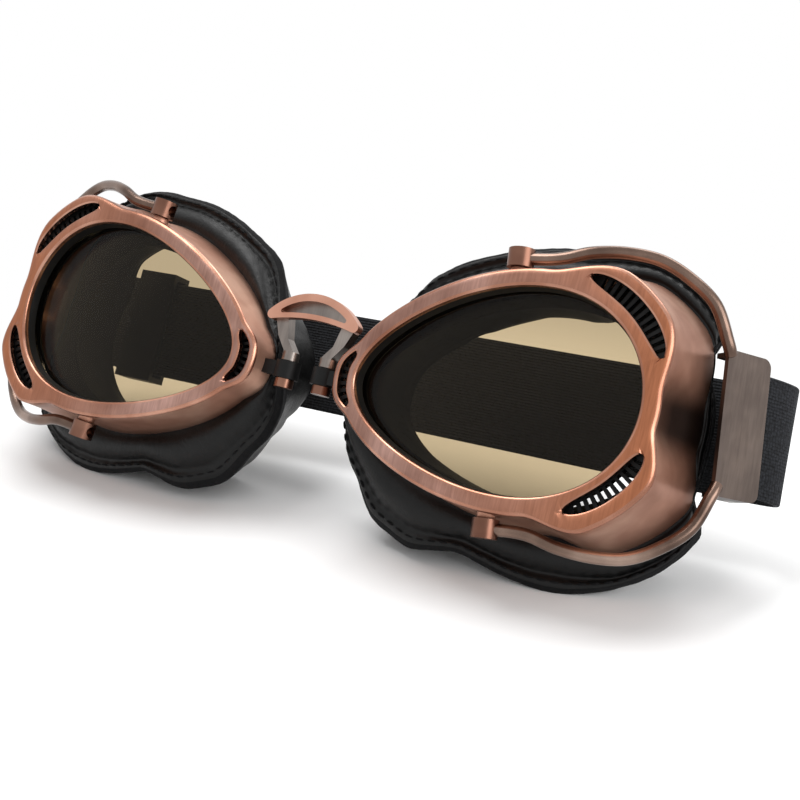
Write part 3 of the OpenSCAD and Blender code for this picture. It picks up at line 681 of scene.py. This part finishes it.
def pad(name, side):
    seed = 11 if side > 0 else 47
    ts = np.linspace(0, 360, 300, endpoint=False)
    rings = np.array([pad_profile(t) for t in ts])
    # two extra points between neighbours, on a smooth curve through the profile
    m = rings.shape[1]
    fine = []
    for j in range(m):
        a, b, c, d = (rings[:, (j + k) % m] for k in (-1, 0, 1, 2))
        sharp = j in (0, 1, m - 2, m - 3, m - 1)
        for u in (0, 1 / 3, 2 / 3):
            if sharp:
                fine.append(b + (c - b) * u)
            else:
                p = 0.5 * (2 * b + (c - a) * u + (2 * a - 5 * b + 4 * c - d) * u * u
                           + (3 * b - a - 3 * c + d) * u ** 3)
                fine.append(p)
    rings = np.stack(fine, 1)
    n, m = rings.shape[:2]
    v = worn(rings).reshape(-1, 3)
    # wrinkles and puckers, pushed in along the surface's own direction
    du = np.roll(v.reshape(n, m, 3), -1, 0) - np.roll(v.reshape(n, m, 3), 1, 0)
    dv = np.roll(v.reshape(n, m, 3), -1, 1) - np.roll(v.reshape(n, m, 3), 1, 1)
    nor = np.cross(dv, du)
    nor /= np.linalg.norm(nor, axis=2, keepdims=True) + 1e-9
    push = np.zeros((n, m))
    for i in range(n):
        for j in range(m):
            k = j / 3
            p = v[i * m + j]
            if k <= 1 or k >= m / 3 - 3:
                continue
            big = noise.noise(Vector(p / 11 + seed))
            mid = noise.noise(Vector(p / 4.2 + seed + 9))
            s = 0.16 * big + 0.07 * mid
            if 5 <= k <= 13:
                s += 0.14 * noise.noise(Vector((i / n * 150, k * 0.5, seed)))
            if 13 < k < 18:
                s += 0.22 * noise.noise(Vector((i / n * 46, k * 0.25, seed + 3)))
            push[i, j] = s - 0.12
    v = (v.reshape(n, m, 3) + nor * push[..., None]).reshape(-1, 3)
    placed = rest(v)
    placed[:, 2] = np.maximum(placed[:, 2], 0.0)
    v2, f, uv, cell = grid(placed.reshape(n, m, 3), True, True)
    f = [q[::-1] for q in f]
    uv = [u[::-1] for u in uv]
    mats = [1 if LIP[0] * 3 <= j < LIP[1] * 3 + 2 else 2 if j >= INNER * 3 else 0 for _, j in cell]
    return build(name, v2, f, [LEATHER, BINDING, INSIDE], uv, mats, side, 60, placed=lambda p: p)


def lining(name, side):
    ts = np.linspace(0, 360, 200, endpoint=False)
    rings = []
    for t in ts:
        B = lambda off, deep: on(back_y, np.float64(t), np.float64(off), deep)
        b, a = float(pad_back_off(t)), float(pad_inner(t))
        rings.append([B(1 + a, -1.0), B(b - 0.7, -1.0), B(b - 0.7, -0.5), B(b - 1.0, -0.1),
                      B(b - 1.4, 0.0), B((b + 1 + a) / 2, 0.0), B(1.8 + a, 0.0), B(1.4 + a, -0.1),
                      B(1.1 + a, -0.4)])
    v, f, uv, _ = grid(worn(np.array(rings)), True, True)
    placed = rest(v)
    placed[:, 2] = np.maximum(placed[:, 2], 0.0)
    f = [q[::-1] for q in f]
    uv = [u[::-1] for u in uv]
    return build(name, placed, f, [VELOUR], uv, None, side, 50, placed=lambda p: p)


def stitches(name, side):
    """Short thread stitches that lie in the sewn channel."""
    ts = np.linspace(0, 360, 720, endpoint=False)

    def point(t, lift):
        w = float(pad_edge(t))
        s = float(skirt_w(t)) + 0.3
        g = w - s
        h = min(1.0, g / 6)
        return worn(on(rim_y, np.float64(t), np.float64(s + 0.8 * g),
                       0.7 * float(lip_drop(t)) + 0.95 * h - lift))
    path = np.array([point(t, 0.0) for t in ts])
    seg = np.linalg.norm(np.roll(path, -1, 0) - path, axis=1)
    total = seg.sum()
    along = np.concatenate([[0], np.cumsum(seg)])
    tt = np.concatenate([ts, [360.0]])
    count = int(total / 3.1)
    parts = []
    for k in range(count):
        mid = total * (k + 0.5) / count
        rings = []
        for q in np.linspace(-1, 1, 7):
            t = float(np.interp(mid + q * 1.05, along, tt))
            c = point(t, 0.16 + 0.16 * (1 - q * q) ** 0.5 if abs(q) < 1 else 0.02)
            d = point(t + 0.4, 0.1) - point(t - 0.4, 0.1)
            d /= np.linalg.norm(d)
            a = np.cross(d, (0, 1, 0))
            a /= np.linalg.norm(a)
            b = np.cross(d, a)
            r = 0.27 * math.sqrt(max(0.12, 1 - abs(q) ** 3))
            rings.append([c + r * (a * math.cos(x) + b * math.sin(x))
                          for x in np.linspace(0, 2 * math.pi, 7)[:-1]])
        v, f, uv, _ = grid(np.array(rings), False, True)
        parts.append((v, f, uv, [0] * len(f)))
    v, f, u, _ = join_parts(parts)
    return build(name, v, f, [THREAD], u, None, side, 60)


# Arms and strap
SEAT = barrel_seat()
WIRE_Z = SEAT + 0.1 + 2.2
BR_X, BR_Y, BR_DROP, BR_H, BR_TURN = 48.3, 11.0, 0.5, 33.0, math.radians(55)


def smooth_path(p, parts):
    p = np.asarray(p, float)
    n = len(p)
    out = []
    for i in range(n - 1):
        a, b, c, d = p[max(0, i - 1)], p[i], p[i + 1], p[min(n - 1, i + 2)]
        for k in range(parts):
            u = k / parts
            out.append(0.5 * (2 * b + (c - a) * u + (2 * a - 5 * b + 4 * c - d) * u * u
                              + (3 * b - a - 3 * c + d) * u ** 3))
    out.append(p[-1])
    return np.array(out)


def arm_wire(name, side):
    e = BR_H / 2 - 2
    route = [(PIVOT_X - 0.5, -PIVOT_FRONT, WIRE_Z), (PIVOT_X + 2, -PIVOT_FRONT, WIRE_Z),
             (9.5, -PIVOT_FRONT, WIRE_Z), (13.5, -5.2, WIRE_Z + 0.5),
             (19, -3.8, WIRE_Z + 2.2), (26, -0.8, WIRE_Z + 3.1),
             (33, 2.4, WIRE_Z + 2.4), (39.3, 5, WIRE_Z - 0.9), (44.9, 7.6, WIRE_Z - 6),
             (BR_X - 0.4, BR_Y - 1.1, e + 3), (BR_X + 0.3, BR_Y + 0.7, e)]
    path = smooth_path(route, 8)
    r = 1.45
    parts = []
    for z in (1, -1):
        rings = []
        for i in range(len(path)):
            h = path[min(len(path) - 1, i + 1)] - path[max(0, i - 1)]
            h /= np.linalg.norm(h)
            a = np.cross(h, (0.35, -1, 0.2))
            a /= np.linalg.norm(a)
            b = np.cross(h, a)
            k = 0.8 if i in (0, len(path) - 1) else 1
            rings.append([path[i] + k * r * (a * math.cos(x) + b * math.sin(x))
                          for x in np.linspace(0, 2 * math.pi, 25)[:-1]])
        rings = np.array(rings)
        if z < 0:
            rings = rings[:, ::-1] * [1, 1, -1]
        v, f, uv, _ = grid(worn(rings), False, True)
        m = rings.shape[1]
        f.append([j for j in range(m)][::-1])
        uv.append([(0, 0)] * m)
        f.append([(len(rings) - 1) * m + j for j in range(m)])
        uv.append([(0, 0)] * m)
        parts.append((v, f, uv, [0] * len(f)))
    v, f, u, _ = join_parts(parts)
    return build(name, v, f, [WIRE], u, None, side, 50)


def bracket_to_worn(x, y, z):
    c, s = math.cos(BR_TURN), math.sin(BR_TURN)
    return worn(np.array([BR_X + x * c - y * s, BR_Y + x * s + y * c, z - BR_DROP]))


EYE_AT = bracket_to_worn(8.6, 4.3, 0)
STRAP_W, STRAP_T, STRAP_Z, STRAP_Y, LAYER = 28.5, 1.6, 6.3, 41.8, 0.3


def strap(name, side, y, end_x):
    ex, ey, ez = EYE_AT
    curve = smooth_path([(ex, ey), (ex + 3.4, ey + 4.9), (ex + 7.2, ey + 9.8), (ex + 8.6, ey + 14.2),
                         (ex + 7.1, y - 3), (ex + 2.8, y - 0.6), (ex - 4, y), (ex - 9, y)], 12)
    n0 = len(curve) - 1
    straight = np.linspace(ex - 9, end_x, 90)[1:]
    path = np.concatenate([curve, np.stack([straight, np.full(len(straight), y)], 1)])
    steps = n0 * 6 / 7
    prof = []
    w, t, r = STRAP_W / 2, STRAP_T / 2, 0.55
    for cx, cz, a0 in ((w - r, t - r, 0), (r - w, t - r, 90), (r - w, r - t, 180), (w - r, r - t, 270)):
        for a in (0, 30, 60, 90):
            x = math.radians(a0 + a)
            prof.append((cx + r * math.cos(x), cz + r * math.sin(x)))
    rings = []
    for i, p in enumerate(path):
        h = path[min(len(path) - 1, i + 1)] - path[max(0, i - 1)]
        h /= np.linalg.norm(h)
        out = np.array([h[1], -h[0], 0])
        share = float(smooth(i / steps))
        lean = CANT * (1 - share)
        z = ez + (STRAP_Z - ez) * share
        upv = np.array([-math.sin(lean), 0, math.cos(lean)])
        rings.append([np.array([p[0], p[1], z]) + upv * a + out * b for a, b in prof])
    rings = np.array(rings)
    v, f, uv, _ = grid(rings, False, True)
    m = rings.shape[1]
    f.append([j for j in range(m)][::-1])
    uv.append([(0, 0)] * m)
    f.append([(len(rings) - 1) * m + j for j in range(m)])
    uv.append([(0, 0)] * m)
    parts = [(v, f, uv, [0] * len(f))]
    # the eye sewn round the bar
    axis = worn(np.array([0, 0, 1.0])) - worn(np.array([0, 0, 0.0]))
    hh = STRAP_W / 2 + 0.25
    prof = [(1.32, -hh), (2.5, -hh), (2.8, -hh + 0.35), (2.8, hh - 0.35), (2.5, hh), (1.32, hh), (1.32, -hh)]
    parts.append(revolve(prof, EYE_AT, axis, (1, 0, 0), 40, 0))
    v, f, u, _ = join_parts(parts)
    return build(name, v, f, [WEBBING], u, None, side, 50)


# The object
def dress(node_name, materials, width=0.0, segments=2):
    """A CAD node kept as it is: its material, and small rounded edges."""
    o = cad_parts[node_name]
    o.data.materials.clear()
    for m in materials:
        o.data.materials.append(m)
    if width:
        b = o.modifiers.new("edges", "BEVEL")
        b.width = width / 1000
        b.segments = segments
        b.limit_method = "ANGLE"
        b.angle_limit = math.radians(40)
        b.harden_normals = False
    return o


for name, s in SIDES:
    cup, arm = f"{name}_eyecup", f"{name}_arm"
    made = (
        (eye_frame(f"{name}_frame_shell", s), "eye_frame", "copper"),
        (lens(f"{name}_lens_dome", s), "lens", "smoked_lens"),
        (gasket(f"{name}_gasket_ring", s), "lens_gasket", "black_rubber"),
        (pad(f"{name}_pad_cover", s), "pad", "pad_leather"),
        (lining(f"{name}_lining_ring", s), "pad_lining", "lining_cloth"),
    )
    for o, node_name, slot in made:
        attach(o, cup)
        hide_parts(f"{name}_{node_name}")
    sewn = stitches(f"{name}_pad_stitches", s)
    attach(sewn, cup)
    w = arm_wire(f"{name}_wire", s)
    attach(w, arm)
    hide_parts(f"{name}_arm_wire")
    dress(f"{name}_vent_grilles", [PLASTIC])
    dress(f"{name}_hinge_loop", [PLASTIC], 0.25)
    dress(f"{name}_upper_pivot", [BARREL], 0.22)
    dress(f"{name}_lower_pivot", [BARREL], 0.22)
    dress(f"{name}_strap_bracket", [BRACKET], 0.3)
    dress(f"{name}_strap_bar", [STEEL], 0.2)
    dress(f"{name}_nose_pin", [BARREL], 0.25)

long_half = strap("strap_long_band", 1, STRAP_Y, -85)
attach(long_half, "right_strap")
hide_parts("right_strap_long")
short_half = strap("strap_short_band", -1, STRAP_Y - STRAP_T - LAYER, 32)
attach(short_half, "left_strap")
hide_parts("left_strap_short")
dress("strap_adjuster", [PLASTIC], 0.3)
dress("bridge_crescent", [CREST], 0.55, 4)
dress("bridge_yoke", [STEEL], 0.3)

# Floor, light, world
def floor_mat(name, colour):
    """Plain pale floor; away from the goggles it reads as plain white to the eye."""
    m = bpy.data.materials.new(name)
    m.use_nodes = True
    t = m.node_tree
    b = t.nodes["Principled BSDF"]
    b.inputs["Base Color"].default_value = (*colour, 1)
    b.inputs["Roughness"].default_value = 0.7
    b.inputs["Specular IOR Level"].default_value = 0.2
    white = node(t, "ShaderNodeEmission", Strength=1.0)
    white.inputs["Color"].default_value = (1, 1, 1, 1)
    c = node(t, "ShaderNodeTexCoord")
    away = node(t, "ShaderNodeVectorMath", operation="LENGTH")
    t.links.new(c.outputs["Object"], away.inputs[0])
    seen = node(t, "ShaderNodeLightPath")
    parts = []
    for ray, near, far in (("Is Camera Ray", 0.1, 0.2), ("Is Glossy Ray", 0.06, 0.13)):
        r = node(t, "ShaderNodeMapRange", interpolation_type="SMOOTHSTEP")
        r.inputs["From Min"].default_value = near
        r.inputs["From Max"].default_value = far
        t.links.new(away.outputs["Value"], r.inputs["Value"])
        k = node(t, "ShaderNodeMath", operation="MULTIPLY")
        t.links.new(seen.outputs[ray], k.inputs[0])
        t.links.new(r.outputs["Result"], k.inputs[1])
        parts.append(k)
    share = node(t, "ShaderNodeMath", operation="MAXIMUM")
    t.links.new(parts[0].outputs[0], share.inputs[0])
    t.links.new(parts[1].outputs[0], share.inputs[1])
    mixed = node(t, "ShaderNodeMixShader")
    t.links.new(share.outputs[0], mixed.inputs[0])
    t.links.new(b.outputs[0], mixed.inputs[1])
    t.links.new(white.outputs[0], mixed.inputs[2])
    t.links.new(mixed.outputs[0], t.nodes["Material Output"].inputs["Surface"])
    return m


bpy.ops.mesh.primitive_plane_add(size=6, location=(0, 0, 0))
floor = bpy.context.object
floor.name = "floor"
floor.data.materials.append(floor_mat("floor_white", (0.93, 0.93, 0.93)))

world = bpy.data.worlds.new("world")
bpy.context.scene.world = world
world.use_nodes = True
wt = world.node_tree
bg = wt.nodes["Background"]
bg.inputs["Color"].default_value = (1, 1, 1, 1)
path = node(wt, "ShaderNodeLightPath")
lit = node(wt, "ShaderNodeBackground")
lit.inputs["Color"].default_value = (1, 1, 1, 1)
lit.inputs["Strength"].default_value = 1.0
bg.inputs["Strength"].default_value = 0.55
see = node(wt, "ShaderNodeMath", operation="MAXIMUM")
see2 = node(wt, "ShaderNodeMath", operation="MAXIMUM")
wt.links.new(path.outputs["Is Camera Ray"], see.inputs[0])
wt.links.new(path.outputs["Is Glossy Ray"], see.inputs[1])
wt.links.new(see.outputs[0], see2.inputs[0])
wt.links.new(path.outputs["Is Transmission Ray"], see2.inputs[1])
mixw = node(wt, "ShaderNodeMixShader")
wt.links.new(see2.outputs[0], mixw.inputs[0])
wt.links.new(bg.outputs[0], mixw.inputs[1])
wt.links.new(lit.outputs[0], mixw.inputs[2])
wt.links.new(mixw.outputs[0], wt.nodes["World Output"].inputs["Surface"])


def area(name, place_m, look_m, w, h, power):
    l = bpy.data.lights.new(name, "AREA")
    l.shape = "RECTANGLE"
    l.size, l.size_y, l.energy = w, h, power
    o = bpy.data.objects.new(name, l)
    bpy.context.scene.collection.objects.link(o)
    o.location = place_m
    o.rotation_euler = (Vector(look_m) - Vector(place_m)).to_track_quat("-Z", "Y").to_euler()
    return o


area("key", (-0.35, 0.1, 1.0), (0, 0, 0.03), 0.7, 0.5, 7.0)
area("fill", (0.85, -0.15, 0.4), (0.03, 0, 0.03), 0.8, 0.5, 5.0)
area("back", (0.1, 0.7, 0.7), (0, 0, 0.03), 0.8, 0.4, 4.0)

bpy.context.scene.view_settings.view_transform = "Standard"
